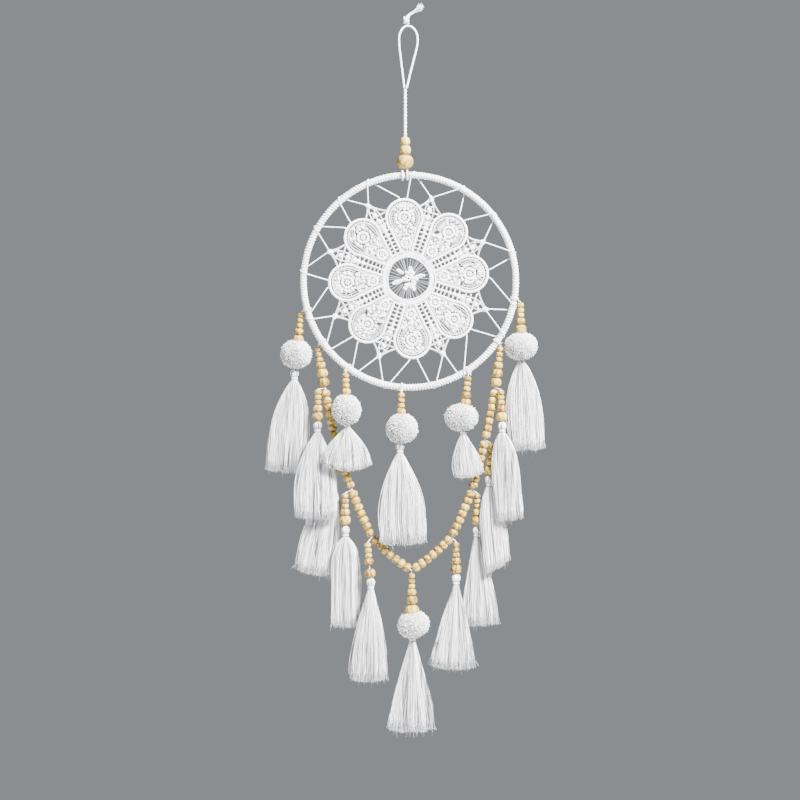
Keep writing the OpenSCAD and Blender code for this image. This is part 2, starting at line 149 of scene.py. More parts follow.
def make_stage():
    world = bpy.data.worlds.new("studio")
    world.use_nodes = True
    tree = world.node_tree
    dim = tree.nodes["Background"]
    dim.inputs["Color"].default_value = (0.08, 0.084, 0.088, 1)
    wall = tree.nodes.new("ShaderNodeBackground")
    wall.inputs["Color"].default_value = (0.262, 0.28, 0.292, 1)
    mix = tree.nodes.new("ShaderNodeMixShader")
    seen = tree.nodes.new("ShaderNodeLightPath").outputs["Is Camera Ray"]
    tree.links.new(seen, mix.inputs[0])
    tree.links.new(dim.outputs[0], mix.inputs[1])
    tree.links.new(wall.outputs[0], mix.inputs[2])
    tree.links.new(mix.outputs[0], tree.nodes["World Output"].inputs["Surface"])
    bpy.context.scene.world = world
    middle = (0, 0, -0.3)
    make_light("key", (1.0, -1.1, 0.95), middle, 0.5, 430, (1, 0.985, 0.96))
    make_light("fill", (-1.3, -1.4, 0.1), middle, 1.6, 26, (0.93, 0.96, 1))
    make_light("rim", (0.6, 1.3, 0.9), middle, 1.0, 30)
    bpy.ops.mesh.primitive_circle_add(vertices=64, radius=0.8, fill_type="NGON", location=(0, 0, -0.92))
    floor = bpy.context.object
    floor.name = "floor"
    floor.data.materials.append(floor_material())


# ---- materials ----


def srgb(r, g, b):
    """A colour given as 0 to 255, as linear light."""
    out = []
    for v in (r, g, b):
        v /= 255
        out.append(v / 12.92 if v <= 0.04045 else ((v + 0.055) / 1.055) ** 2.4)
    return (*out, 1)


class Shader:
    """A material with one Principled shader, and short ways to add and join nodes."""

    def __init__(self, name):
        self.mat = bpy.data.materials.new(name)
        self.mat.use_nodes = True
        self.tree = self.mat.node_tree
        self.bsdf = self.tree.nodes["Principled BSDF"]

    def node(self, kind, **settings):
        n = self.tree.nodes.new(kind)
        inputs = settings.pop("inputs", {})
        for key, value in settings.items():
            setattr(n, key, value)
        for key, value in inputs.items():
            if isinstance(value, bpy.types.NodeSocket):
                self.tree.links.new(value, n.inputs[key])
            else:
                n.inputs[key].default_value = value
        return n

    def math(self, operation, a, b=0.0):
        return self.node("ShaderNodeMath", operation=operation, inputs={0: a, 1: b}).outputs[0]

    def weighted(self, *terms):
        """The sum of some sockets, each times its weight."""
        total, *rest = [self.math("MULTIPLY", socket, weight) for socket, weight in terms]
        for part in rest:
            total = self.math("ADD", total, part)
        return total

    def noise(self, vector, scale, detail):
        inputs = {"Vector": vector, "Scale": scale, "Detail": detail}
        return self.node("ShaderNodeTexNoise", inputs=inputs).outputs["Fac"]

    def attribute(self, name, output="Fac"):
        return self.node("ShaderNodeAttribute", attribute_name=name).outputs[output]

    def place(self):
        return self.node("ShaderNodeTexCoord").outputs["Object"]

    def scaled(self, vector, scale):
        return self.node("ShaderNodeMapping", inputs={"Vector": vector, "Scale": scale}).outputs[0]

    def wave(self, angle):
        """A sine wave from 0 to 1."""
        return self.math("ADD", self.math("MULTIPLY", self.math("SINE", angle), 0.5), 0.5)

    def ramp(self, fac, stops):
        n = self.node("ShaderNodeValToRGB", inputs={"Fac": fac})
        elements = n.color_ramp.elements
        while len(elements) < len(stops):
            elements.new(0.5)
        for element, (at, colour) in zip(elements, stops):
            element.position, element.color = at, colour
        return n.outputs["Color"]

    def set(self, **values):
        for key, value in values.items():
            socket = self.bsdf.inputs[key.replace("_", " ").title()]
            if isinstance(value, bpy.types.NodeSocket):
                self.tree.links.new(value, socket)
            else:
                socket.default_value = value

    def bump(self, height, strength, distance):
        n = self.node("ShaderNodeBump", inputs={"Height": height, "Strength": strength,
                                                "Distance": distance})
        self.tree.links.new(n.outputs["Normal"], self.bsdf.inputs["Normal"])


def floor_material():
    s = Shader("floor_paint")
    noise = s.node("ShaderNodeTexNoise", inputs={"Scale": 40.0})
    s.set(base_color=s.ramp(noise.outputs["Fac"], [(0.3, srgb(205, 208, 210)), (0.7, srgb(212, 214, 216))]),
          roughness=0.85)
    return s.mat


def spun_material(name, light, groove_shade_and_tone_colour, pitch, plies):
    """Twisted thread: plies run round the cord, found from its UV map, v in millimetres along it. The
    grooves between plies are coloured darker, which is painted shade, mixed with random patches of tone.
    """
    s = Shader(name)
    uv = s.node("ShaderNodeUVMap", uv_map="UVMap")
    xyz = s.node("ShaderNodeSeparateXYZ", inputs={0: uv.outputs["UV"]})
    along = s.math("MULTIPLY", xyz.outputs["Y"], 1 / pitch)
    turn = s.math("ADD", s.math("MULTIPLY", xyz.outputs["X"], float(plies)), along)
    groove = s.wave(s.math("MULTIPLY", turn, 2 * math.pi))
    place = s.place()
    fibre = s.noise(place, 2600.0, 3.0)
    patch = s.noise(place, 90.0, 2.0)
    # painted shade: the ply grooves darken the colour; the patch noise is random tone
    shade = s.weighted((groove, 0.55), (patch, 0.45))
    s.set(base_color=s.ramp(shade, [(0.05, groove_shade_and_tone_colour), (0.6, light)]), roughness=0.85, sheen_weight=0.25,
          sheen_roughness=0.5)
    s.bump(s.weighted((groove, 0.75), (fibre, 0.35)), 0.8, 0.00012)
    return s.mat


def silk_material():
    """Straight shiny white threads: each thread and each lock is darkened by a random amount, which is
    painted shade among the threads; each thread's value is kept in the shade attribute.
    """
    s = Shader("silk_thread")
    shade = s.attribute("shade")
    place = s.place()
    fine = s.noise(s.scaled(place, (2200.0, 2200.0, 60.0)), 1.0, 2.0)
    lock = s.noise(s.scaled(place, (420.0, 420.0, 9.0)), 1.0, 3.0)
    # painted shade placed at random: the thread's value, fine noise and lock streaks darken the white silk
    mix = s.weighted((shade, 0.35), (fine, 0.1), (lock, 0.55))
    # the two darker stops are the colours of the painted shade
    stops = [(0.34, srgb(92, 89, 97)), (0.46, srgb(206, 204, 210)), (0.56, srgb(255, 255, 255))]
    s.set(base_color=s.ramp(mix, stops), roughness=0.42, sheen_weight=0.2, anisotropic=0.4)
    s.bump(fine, 0.5, 0.0001)
    return s.mat


def yarn_material():
    """The cut pile of a pompom: random fibres and noise darken the white towards grey, which is painted
    shade in the pile.
    """
    s = Shader("pompom_yarn")
    shade = s.attribute("shade")
    place = s.place()
    noise = s.noise(place, 700.0, 3.0)
    mix = s.weighted((shade, 0.7), (noise, 0.3))
    # the grey stop is the colour of the painted shade
    stops = [(0.2, srgb(168, 163, 168)), (0.5, srgb(250, 249, 249)), (0.65, srgb(255, 255, 255))]
    s.set(base_color=s.ramp(mix, stops), roughness=0.95, sheen_weight=0.5, sheen_roughness=0.4)
    s.bump(noise, 0.5, 0.0002)
    return s.mat


def wood_material(name, pale, tan, grain, contrast):
    """Turned light wood: growth rings cut by the bead, fine pores along the grain, a waxed surface."""
    s = Shader(name)
    local = s.attribute("grain", "Vector")
    tone = s.attribute("shade")
    warp = s.noise(local, 0.35, 2.0)
    xyz = s.node("ShaderNodeSeparateXYZ", inputs={0: local})
    across = s.weighted((xyz.outputs["X"], 1.5), (warp, 9.0))
    rings = s.wave(across)
    pores = s.noise(s.scaled(local, (9.0, 9.0, 0.8)), 1.0, 4.0)
    dark_rings = s.math("MULTIPLY", rings, rings)
    mix = s.weighted((dark_rings, 0.45 * contrast), (pores, 0.45 * contrast), (tone, 0.35))
    s.set(base_color=s.ramp(mix, [(0.12, pale), (0.5, tan), (0.95, grain)]), roughness=0.6,
          coat_weight=0.05, coat_roughness=0.35)
    s.bump(pores, 0.25, 0.00012)
    return s.mat


def lace_material():
    """Satin-stitched cotton: fine stitches lie across each raised cord. Its colour is darker in the grooves
    between stitches and on the cords that lie low in the lace, which is painted shade; the patch noise is
    random tone.
    """
    s = Shader("lace_cotton")
    uv = s.node("ShaderNodeUVMap", uv_map="UVMap")
    xyz = s.node("ShaderNodeSeparateXYZ", inputs={0: uv.outputs["UV"]})
    place = s.place()
    jitter = s.noise(place, 500.0, 2.0)
    stitch = s.weighted((xyz.outputs["Y"], 2 * math.pi / 0.7), (jitter, 5.0))
    groove = s.wave(stitch)
    patch = s.noise(place, 160.0, 3.0)
    # lift is the cord's height in the lace: lower cords are coloured darker, as painted shade
    lift = s.attribute("shade")
    # painted shade from the stitch grooves and the cord's height, plus random tone from the patch noise
    shade = s.weighted((groove, 0.15), (patch, 0.25), (lift, 0.75))
    # the two darker stops are the colours of the painted shade
    stops = [(0.3, srgb(96, 96, 106)), (0.6, srgb(188, 188, 196)), (0.82, srgb(253, 253, 254))]
    s.set(base_color=s.ramp(shade, stops), roughness=0.8, sheen_weight=0.2)
    s.bump(s.math("ADD", groove, s.math("MULTIPLY", patch, 0.6)), 0.7, 0.00015)
    return s.mat


def steel_material():
    s = Shader("ring_steel")
    place = s.place()
    noise = s.noise(place, 300.0, 3.0)
    s.set(base_color=s.ramp(noise, [(0.3, srgb(150, 150, 152)), (0.7, srgb(176, 176, 178))]),
          metallic=1.0, roughness=0.35)
    s.bump(noise, 0.1, 0.0001)
    return s.mat


# ---- mesh building ----


class Skins:
    """Collects swept tubes and lathed shapes, then makes one mesh with UVs and attributes."""

    def __init__(self):
        self.points, self.faces, self.uvs, self.shades, self.grains, self.count = [], [], [], [], [], 0

    def grid(self, rings, uv, shade=0.5, wrap_rows=False, grain=None):
        """Joins rings of points in mm, (..., rows, sides, 3), into tubes and closes their ends."""
        sides = rings.shape[-2]
        index = np.arange(rings[..., 0].size).reshape(rings.shape[:-1]) + self.count
        lower = index if wrap_rows else index[..., :-1, :]
        upper = np.roll(index, -1, axis=-2) if wrap_rows else index[..., 1:, :]
        quads = [lower, np.roll(lower, -1, axis=-1), np.roll(upper, -1, axis=-1), upper]
        self.faces.append(np.stack(quads, axis=-1).reshape(-1, 4))
        flat = rings.reshape(-1, 3)
        self.points.append(flat)
        self.uvs.append(np.broadcast_to(uv, (*rings.shape[:-1], 2)).reshape(-1, 2))
        self.shades.append(np.broadcast_to(shade, rings.shape[:-1]).reshape(-1))
        self.grains.append(flat if grain is None else grain.reshape(-1, 3))
        self.count += len(flat)
        if wrap_rows:
            return
        for end, order in ((0, -1), (-1, 1)):
            ring = index[..., end, :][..., ::order].reshape(-1, sides)
            for k in range(1, sides - 1, 2):
                last = min(k + 2, sides - 1)
                self.faces.append(np.stack([ring[:, 0], ring[:, k], ring[:, k + 1], ring[:, last]], -1))

    def piece(self, name, material, body, stands_for=(), slot=None):
        points = np.concatenate(self.points) * MM
        faces = np.concatenate(self.faces)
        triangle = faces[:, 2] == faces[:, 3]
        sizes = np.where(triangle, 3, 4)
        keep = np.ones(faces.shape, bool)
        keep[triangle, 3] = False
        loops = faces[keep]
        starts = np.concatenate([[0], np.cumsum(sizes)[:-1]])
        mesh = bpy.data.meshes.new(name)
        mesh.vertices.add(len(points))
        mesh.vertices.foreach_set("co", points.astype(np.float32).ravel())
        mesh.loops.add(len(loops))
        mesh.loops.foreach_set("vertex_index", loops.astype(np.int32))
        mesh.polygons.add(len(faces))
        mesh.polygons.foreach_set("loop_start", starts.astype(np.int32))
        mesh.polygons.foreach_set("use_smooth", np.ones(len(faces), bool))
        layer = mesh.uv_layers.new(name="UVMap")
        layer.data.foreach_set("uv", np.concatenate(self.uvs)[loops].astype(np.float32).ravel())
        shade = mesh.attributes.new("shade", "FLOAT", "POINT")
        shade.data.foreach_set("value", np.concatenate(self.shades).astype(np.float32))
        grain = mesh.attributes.new("grain", "FLOAT_VECTOR", "POINT")
        grain.data.foreach_set("vector", np.concatenate(self.grains).astype(np.float32).ravel())
        mesh.update(calc_edges=True)
        mesh.validate()
        mesh.materials.append(material)
        obj = bpy.data.objects.new(name, mesh)
        bpy.context.scene.collection.objects.link(obj)
        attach(obj, body)
        if stands_for:
            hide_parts(*stands_for)
        return obj


def unit(v):
    return v / np.maximum(np.linalg.norm(v, axis=-1, keepdims=True), 1e-9)


def tangents(path, closed=False):
    if closed:
        return unit(np.roll(path, -1, axis=-2) - np.roll(path, 1, axis=-2))
    return unit(np.gradient(path, axis=-2))


def around(count):
    """Evenly spaced angles of a whole turn."""
    return np.linspace(0, 2 * np.pi, count, endpoint=False)


def lengths(path):
    """Distance along a path at each of its points."""
    step = np.linalg.norm(np.diff(path, axis=-2), axis=-1)
    return np.concatenate([np.zeros((*step.shape[:-1], 1)), np.cumsum(step, -1)], -1)


def turned(profile, a):
    """A profile of (radius, height) rows turned to each of the angles a: (rows, angles, 3)."""
    r, z = profile[:, :1], profile[:, 1:]
    return np.stack(np.broadcast_arrays(r * np.cos(a), r * np.sin(a), z), -1)


def spokes(u, v, a):
    """Directions at the angles a, from u towards v."""
    return u * np.cos(a)[:, None] + v * np.sin(a)[:, None]


def carried_normals(path, start):
    t = tangents(path)
    out, n = [], np.array(start, float)
    for k in range(len(path)):
        n = n - (n @ t[k]) * t[k]
        n = n / np.linalg.norm(n)
        out.append(n)
    return np.array(out)


def sweep(skins, path, normal, across, deep, sides=8, closed=False, shade=0.5, tip=True):
    """An oval tube along path: half-width deep along normal and across along the third direction."""
    t = tangents(path, closed)
    side = unit(np.cross(t, normal))
    a = around(sides)
    across = np.broadcast_to(across, len(path)).astype(float).copy()
    deep = np.broadcast_to(deep, len(path)).astype(float).copy()
    rings = (path[:, None] + across[:, None, None] * np.cos(a)[None, :, None] * side[:, None]
             - deep[:, None, None] * np.sin(a)[None, :, None] * normal[:, None])
    v = lengths(path)
    uv = np.stack(np.broadcast_arrays(a[None, :] / (2 * np.pi), v[:, None]), -1)
    if not closed and tip:
        for end in (0, -1):
            rings[end] = path[end] + 0.55 * (rings[end] - path[end])
    skins.grid(rings, uv, shade, wrap_rows=closed)


def round_cord(skins, path, r, sides=8, normal=(0, 1, 0)):
    sweep(skins, path, carried_normals(path, normal), r, r, sides=sides)


def smooth_route(points, step):
    """A Catmull-Rom curve through points, sampled about every step millimetres."""
    p = np.array(points, float)
    p = np.vstack([2 * p[0] - p[1], p, 2 * p[-1] - p[-2]])
    out = []
    for i in range(1, len(p) - 2):
        n = max(1, int(round(np.linalg.norm(p[i + 1] - p[i]) / step)))
        t = np.arange(n)[:, None] / n
        out.append(0.5 * (2 * p[i] + (p[i + 1] - p[i - 1]) * t
                          + (2 * p[i - 1] - 5 * p[i] + 4 * p[i + 1] - p[i + 2]) * t**2
                          + (3 * p[i] - p[i - 1] - 3 * p[i + 1] + p[i + 2]) * t**3))
    return np.vstack([*out, p[-2:-1]])


def from_hoop(points):
    """Points laid out from the hoop's centre, in the row frame, in millimetres."""
    return np.array(points, float) + np.array([HOOP[0], 0, HOOP[2]])


# ---- hanger and stem ----


def make_hanger():
    skins = Skins()
    path = smooth_route(LOOP, 0.8)
    round_cord(skins, path, LOOP_D / 2, sides=10)
    loop = skins.piece("loop_cord", COTTON, "hanger", ["hanger_loop"], "cotton")

    skins = Skins()
    turn = np.linspace(0, 2.6 * 2 * np.pi, 60)
    knot = np.stack([-1.6 + 1.9 * np.cos(turn), 1.9 * np.sin(turn), 3.2 + turn * 0.33], -1)
    sweep(skins, knot, unit(knot - [-1.6, 0, 6]), 0.95, 0.95)
    over = [(-3.6, -1.2, 3.4), (-2.4, -2.9, 5), (-0.6, -2.9, 7.2), (0.4, -1, 9.2), (1.2, 0, 11)]
    cross = smooth_route(over, 0.5)
    round_cord(skins, cross, 0.9)
    stub = smooth_route([(-1.6, 0, 7.4), (-0.8, 0, 9.4), (1.4, 0, 11.2), (3.6, 0, 12.6)], 0.5)
    round_cord(skins, stub, 1.2)
    count = 46
    t = np.linspace(0, 1, 9)[None, :, None]
    ends = np.array([12.2, 0, 19]) + rng.normal(0, 1, (count, 3)) * [1.7, 1.5, 1.7]
    mid = np.array([7, 0, 15]) + rng.normal(0, 0.7, (count, 3))
    start = np.array([2.6, 0, 12]) + rng.normal(0, 0.4, (count, 3))
    fray = (1 - t)**2 * start[:, None] + 2 * t * (1 - t) * mid[:, None] + t**2 * ends[:, None]
    bundle(skins, fray, np.full((count, 9), 0.2), rng.random(count))
    skins.piece("loop_knot", COTTON, "hanger", slot="cotton")


# The two twisted strands of the stem: half-thickness, distance from the middle, length of a turn.
PLY_R, PLY_OUT, PLY_PITCH = 0.8, 0.72, 6.5


def make_stem():
    skins = Skins()
    foot, top = HOOP[2] + STEM_FOOT, HOOP[2] + STEM_TOP
    z = np.arange(top, foot, -0.4)
    for phase in (0, np.pi):
        a = phase + z * 2 * np.pi / PLY_PITCH
        path = np.stack([HOOP[0] + STEM_X + PLY_OUT * np.cos(a), PLY_OUT * np.sin(a), z], -1)
        round_cord(skins, path, PLY_R)
    stem = skins.piece("stem_strands", COTTON, "stem", ["stem_cord"], "cotton")


# ---- beads ----

# Diameter and length of each kind of bead; a dot stands for a short length of bare thread.
BEADS = {"s": (6.4, 4.48), "m": (8.5, 6.29), "l": (10, 8.2), "j": (13.5, 11.475), ".": (0, 3.2)}
BEAD_GAP = 0.15
GARLAND_D, GARLAND_L = 8.2, 6.3
STEM_BEADS = [(127.6, 8.8, 7.4), (119.6, 10.3, 8.4), (108.9, 14.6, 12.6)]
KINDS = {"l3": "sssm", "c": "sssm", "b": "sssmlj", "lc": "sssm.l"}


def bead(skins, centre, axis, d, length, bore=1.5):
    """A turned bead: a ball with two flats, bored through, its edges eased."""
    half, r, hole = length / 2, d / 2, bore / 2
    tilt = np.linspace(-1, 1, 17) * math.pi / 2
    wide = hole + 0.1 + (r - hole - 0.1) * np.cos(tilt)**0.8
    high = half * np.sign(np.sin(tilt)) * np.abs(np.sin(tilt))**0.9
    wall = [(hole, 0.55 * half), (hole, -0.55 * half)]
    profile = np.vstack([np.stack([wide, high], -1), wall])
    a = around(28)
    local = turned(profile, a)
    w = unit(np.array(axis, float))
    u = unit(np.cross(w, [0.2, 1, 0.1]))
    v = np.cross(w, u)
    rings = np.array(centre) + local @ np.stack([u, v, w])
    spin = Vector((0, 0, 1)).rotation_difference(Vector(unit(rng.normal(0, 1, 3) * [0.35, 0.35, 1])))
    grain = local @ np.array(spin.to_matrix()) + rng.uniform(-60, 60, 3)
    uv = np.stack(np.broadcast_arrays(a[None, :] / WHOLE_TURN, profile[:, 1:]), -1)
    skins.grid(rings, uv, rng.random(), wrap_rows=True, grain=grain)


def bead_row(skins, first, along, kinds):
    first, along = from_hoop(first), unit(np.array(along, float))
    at = 0
    for i, kind in enumerate(kinds):
        d, length = BEADS[kind]
        if i:
            at += (BEADS[kinds[i - 1]][1] + length) / 2 + BEAD_GAP
        if kind != ".":
            bead(skins, first + along * at, along, d, length)


def run_point(i, t):
    """A point on one run of the garland, with its sag."""
    a, b = np.array(KNOTS[i]), np.array(KNOTS[i + 1])
    u = unit(b - a)
    down = np.array([u[2], 0, -u[0]])
    if down[2] > 0:
        down = -down
    return a + (b - a) * t + 4 * SAGS[i] * t * (1 - t) * down


def run_beads(skins, i):
    span = np.linalg.norm(np.subtract(KNOTS[i + 1], KNOTS[i]))
    shift = {3: -0.4, 4: 0.4}.get(i, 0) / span
    for k in range(7):
        t = 0.5 + shift + (k - 3) * (GARLAND_L + 0.12) / span
        bead(skins, from_hoop(run_point(i, t)), run_point(i, t + 0.01) - run_point(i, t - 0.01),
             GARLAND_D, GARLAND_L)


def make_beads():
    skins = Skins()
    for z, d, length in STEM_BEADS:
        bead(skins, from_hoop((STEM_X, 0, z)), (0, 0, 1), d, length, 3.4)
    skins.piece("wood_beads_stem", PALE_WOOD, "stem", ["stem_beads"], "wood")
    for side, runs in (("left", range(4)), ("right", range(4, 8))):
        skins = Skins()
        for i in runs:
            run_beads(skins, i)
        skins.piece("wood_beads_" + side, TAN_WOOD, "garland", ["garland_beads_" + side], "wood")
    skins = Skins()
    for first, last in (LEAD_LEFT, LEAD_RIGHT):
        bead_row(skins, first, np.subtract(last, first), "sssmll")
    skins.piece("wood_beads_lead", TAN_WOOD, "garland", ["lead_beads"], "wood")
    for name, (_, first, head) in STRANDS.items():
        skins = Skins()
        bead_row(skins, first, np.subtract(head, first), KINDS.get(name, "sssml"))
        skins.piece("wood_beads_" + name, TAN_WOOD, "strand_" + name, ["beads_" + name], "wood")


# ---- hoop and its ties ----


WRAP_TURNS = 236
# The wound cord's half-width along the hoop, its half-thickness, and how deep its middle lies.
WRAP_ACROSS, WRAP_DEEP, WRAP_SINK = 1.3, 0.76, 0.8
# A whole turn in radians, rounded.
WHOLE_TURN = 6.283


def make_wrap():
    """One cord wound round the steel ring, turn against turn."""
    start, end = math.radians(92.2), math.radians(89.8 + 360)
    s = np.linspace(0, 1, WRAP_TURNS * 18 + 1)
    ring = start + (end - start) * s
    spin = 2 * np.pi * WRAP_TURNS * s
    out = np.stack([np.cos(ring), 0 * ring, np.sin(ring)], -1)
    away = spokes(out, np.array([0, 1, 0]), spin)
    wander = rng.normal(0, 0.05, WRAP_TURNS + 1)
    wander = np.interp(spin / WHOLE_TURN, np.arange(WRAP_TURNS + 1), wander)
    path = out * RING_R + away * (TUBE_D / 2 - WRAP_SINK + wander[:, None])
    skins = Skins()
    sweep(skins, path + [HOOP[0], 0, HOOP[2]], away, WRAP_ACROSS, WRAP_DEEP)
    skins.piece("wrap_cord", WRAP_COTTON, "hoop", ["hoop_wrap"], "cotton")


def tie_ring(skins, angle, d, lean=0.0):
    """A turn of thread round the hoop, drawn tight."""
    a = around(40)
    out = np.array(on_hoop(angle, 1))
    along = np.array([-out[2], 0, out[0]])
    away = spokes(out, np.array([0, 1, 0]), a)
    path = out * RING_R + away * (TUBE_D / 2 + d / 2 + 0.1) + along * (lean * np.sin(a))[:, None]
    sweep(skins, from_hoop(path), away, d / 2, d / 2, closed=True)


def small_knot(skins, centre, r, tails=2):
    """A thread knot: three crossed turns and short tails."""
    a = around(18)
    for _ in range(3):
        u = unit(rng.normal(0, 1, 3))
        v = unit(np.cross(u, rng.normal(0, 1, 3)))
        away = spokes(u, v, a)
        sweep(skins, centre + away * r * 0.55, away, r * 0.5, r * 0.45, sides=6, closed=True)
    for _ in range(tails):
        lean = unit(np.array([rng.normal(), -0.4, rng.normal() - 0.5])) * r * 2.1
        path = centre + lean * np.linspace(0.2, 1, 5)[:, None]
        round_cord(skins, path, r * 0.2, sides=5, normal=(0.3, 1, 0.2))


def make_ties():
    skins = Skins()
    for ties, y in ((FRONT_TIES, -TIE_Y), (BACK_TIES, TIE_Y)):
        for angle in ties.values():
            tie_ring(skins, angle - 0.25, TIE_D, 0.2)
            tie_ring(skins, angle + 0.3, TIE_D, -0.2)
            small_knot(skins, from_hoop(on_hoop(angle, RING_R + KNOT_OUT, y)), KNOT_R)
    for angle in HITCH:
        tie_ring(skins, angle, HITCH_D)
    skins.piece("tie_threads", THREAD, "hoop", ["strand_ties"], "cotton")


# ---- lacing ----

LACING = [87.5, 60, 38, 15, -14, -30.5, -60.5, -77, -103, -121.5, -141, -160.5, -186, -210, -230, -248]
LACING_D = 1.1
LACE_AT = np.array([-1, 0, 2.4])
LACE_TURN = 93.6
# How far each ladder leans from the middle between its petals, in degrees.
LEAN = [3, 0, -3, -1.5, -2, 1, 0, 3]
TIP_R = 73.5


def lace_angle(k):
    lean = LEAN[k // 2 % 8] if k % 2 else 0
    return LACE_TURN - 22.5 * k + lean


def bight(k):
    """Where the thread goes behind the lace's edge: a wide step at a petal, a narrow one at a knot."""
    wide, r = (2.7, TIP_R + 0.2) if k % 2 == 0 else (0.9, TIP_R + 3.4)
    a = lace_angle(k)
    return [LACE_AT + on_hoop(a + wide, r + 0.6, -0.6), LACE_AT + on_hoop(a + wide, r - 1.2, 0.9),
            LACE_AT + on_hoop(a - wide, r - 1.2, 0.9), LACE_AT + on_hoop(a - wide, r + 0.6, -0.6)]


def turn_over(angle):
    r = TUBE_D / 2 + 0.2
    return [on_hoop(angle + 1.8 * (180 - a) / 120, RING_R - r * math.cos(math.radians(a)),
                    -r * math.sin(math.radians(a))) for a in range(60, 301, 30)]


def make_lacing():
    points = []
    for k in range(16):
        points += bight(k)[2:] if k == 0 else bight(k)
        points += turn_over(LACING[k])
    points += bight(16)[:2]
    p = from_hoop(points)
    path = [p[:1]]
    for a, b in zip(p[:-1], p[1:]):
        n = max(2, int(np.linalg.norm(b - a) / 1.2))
        path.append(a + (b - a) * (np.arange(1, n + 1) / n)[:, None])
    path = np.vstack(path)
    for _ in range(2):
        path[1:-1] = 0.25 * path[:-2] + 0.5 * path[1:-1] + 0.25 * path[2:]
    skins = Skins()
    round_cord(skins, path, LACING_D / 2)
    obj = skins.piece("lace_lacing", THREAD, "hoop", ["lacing_thread"], "cotton")


# ---- lace ----


class Lace:
    """Raised cords drawn in the lace's plane; each is turned to its place in the medallion."""

    def __init__(self):
        self.skins = Skins()
        self.turn = 0.0
        self.lean = 0.0

    def stroke(self, points, width, height=0.8, y=0.0, closed=False, sides=6):
        """A cord through points; the lower it lies in the lace, the darker its painted shade."""
        p = np.array(points, float)
        p[:, 1] += p[:, 0] * math.tan(math.radians(self.lean)) * np.clip((p[:, 0] - 46) / 30, 0, 1)
        c, s = math.cos(self.turn), math.sin(self.turn)
        x, z = p[:, 0] * c - p[:, 1] * s, p[:, 0] * s + p[:, 1] * c
        depth = -np.broadcast_to(y, len(p)) + rng.normal(0, 0.04)
        path = from_hoop(np.stack([x, depth, z], -1) + LACE_AT)
        normal = np.broadcast_to(np.array([0, -1.0, 0]), path.shape)
        # painted shade: the cord's height goes to the shade attribute, and the lace material colours low
        # cords darker
        lift = y + height / 2 + rng.normal(0, 0.06)
        sweep(self.skins, path, normal, width / 2, height / 2, sides=sides, closed=closed, shade=lift)

    def ring(self, centre, r, width, height=0.9, y=0.0, arc=(0, 360), squash=1.0):
        full = arc[1] - arc[0] >= 360
        n = max(8, int(math.radians(arc[1] - arc[0]) * r / 0.8))
        a = np.radians(np.linspace(*arc, n, endpoint=not full))
        wave = 1 + 0.03 * np.sin(3 * a + rng.uniform(0, 6))
        p = np.stack([centre[0] + r * wave * np.cos(a), centre[1] + squash * r * wave * np.sin(a)], -1)
        self.stroke(p, width, height, y, closed=full)

    def line(self, a, b, width, height=0.8, y=0.0):
        n = max(3, int(math.dist(a, b) / 1.0))
        t = np.linspace(0, 1, n)[:, None]
        p = np.array(a) * (1 - t) + np.array(b) * t
        self.stroke(p + rng.normal(0, 0.06, p.shape), width, height, y)

    def lump(self, centre, r, height=0.7, y=0.0):
        """A rounded knot of stitches."""
        a = around(10)
        for size, lift in ((1.0, 0.0), (0.62, 0.3), (0.25, 0.42)):
            p = np.array(centre) + size * r * 0.5 * np.stack([np.cos(a), np.sin(a)], -1)
            self.stroke(p, size * r * 1.1, height, y + lift, closed=True)


PETAL_R = 17.6
PETAL_X = TIP_R - PETAL_R
BASE = (23.5, 5.4)


def petal_outline(inset):
    """Half-lines of a petal's edge, inset from its outside: one side, the round tip, the other."""
    r = PETAL_R - inset
    bx, by = BASE[0], BASE[1] - inset * 0.9
    reach = math.hypot(PETAL_X - bx, by)
    side = math.atan2(-by, PETAL_X - bx) + math.acos(r / reach)
    a = np.linspace(math.pi - side, side - math.pi, 70)
    arc = np.stack([PETAL_X + r * np.cos(a), r * np.sin(a)], -1)
    n = 26
    t = np.linspace(0, 1, n, endpoint=False)[:, None]
    up = np.array([bx, by]) * (1 - t) + arc[0] * t
    return np.vstack([up, arc, (up * [1, -1])[::-1]])


def inside(p, outline):
    """Which of the points p lie inside a closed outline."""
    x, y = p[:, 0][:, None], p[:, 1][:, None]
    x1, y1 = outline[:, 0], outline[:, 1]
    x2, y2 = np.roll(x1, -1), np.roll(y1, -1)
    cross = (y1 > y) != (y2 > y)
    at = x1 + (y - y1) / np.where(y2 == y1, 1e-9, y2 - y1) * (x2 - x1)
    return (cross & (x < at)).sum(1) % 2 == 1


def net(lace, keep, box, spacing, width, lean):
    """Two families of crossing threads, kept where keep(points) is true."""
    x0, x1, y0, y1 = box
    for way in (lean, -lean):
        c, s = math.cos(math.radians(way)), math.sin(math.radians(way))
        middle = np.array([(x0 + x1) / 2, (y0 + y1) / 2])
        reach = math.hypot(x1 - x0, y1 - y0) / 2
        for off in np.arange(-reach, reach, spacing):
            t = np.arange(-reach, reach, 0.7)[:, None]
            p = middle + t * [c, s] + off * np.array([-s, c])
            p += 0.15 * np.sin(t * 0.9 + off * 3)
            ok = keep(p)
            cuts = np.flatnonzero(np.diff(np.concatenate([[0], ok.astype(int), [0]])))
            for a, b in zip(cuts[::2], cuts[1::2]):
                if b - a >= 3:
                    wide = width * (1 + 0.25 * np.sin(0.8 * p[a:b, 0] + 1.7 * p[a:b, 1]))
                    lace.stroke(p[a:b], wide, 0.75, -0.15 if way > 0 else 0.1)


SLIT_KINDS = ["rows", "hatch", "band", "long", "rows", "hatch", "band", "long"]


def polar(centre, r, degrees):
    a = math.radians(degrees)
    return (centre[0] + r * math.cos(a), centre[1] + r * math.sin(a))


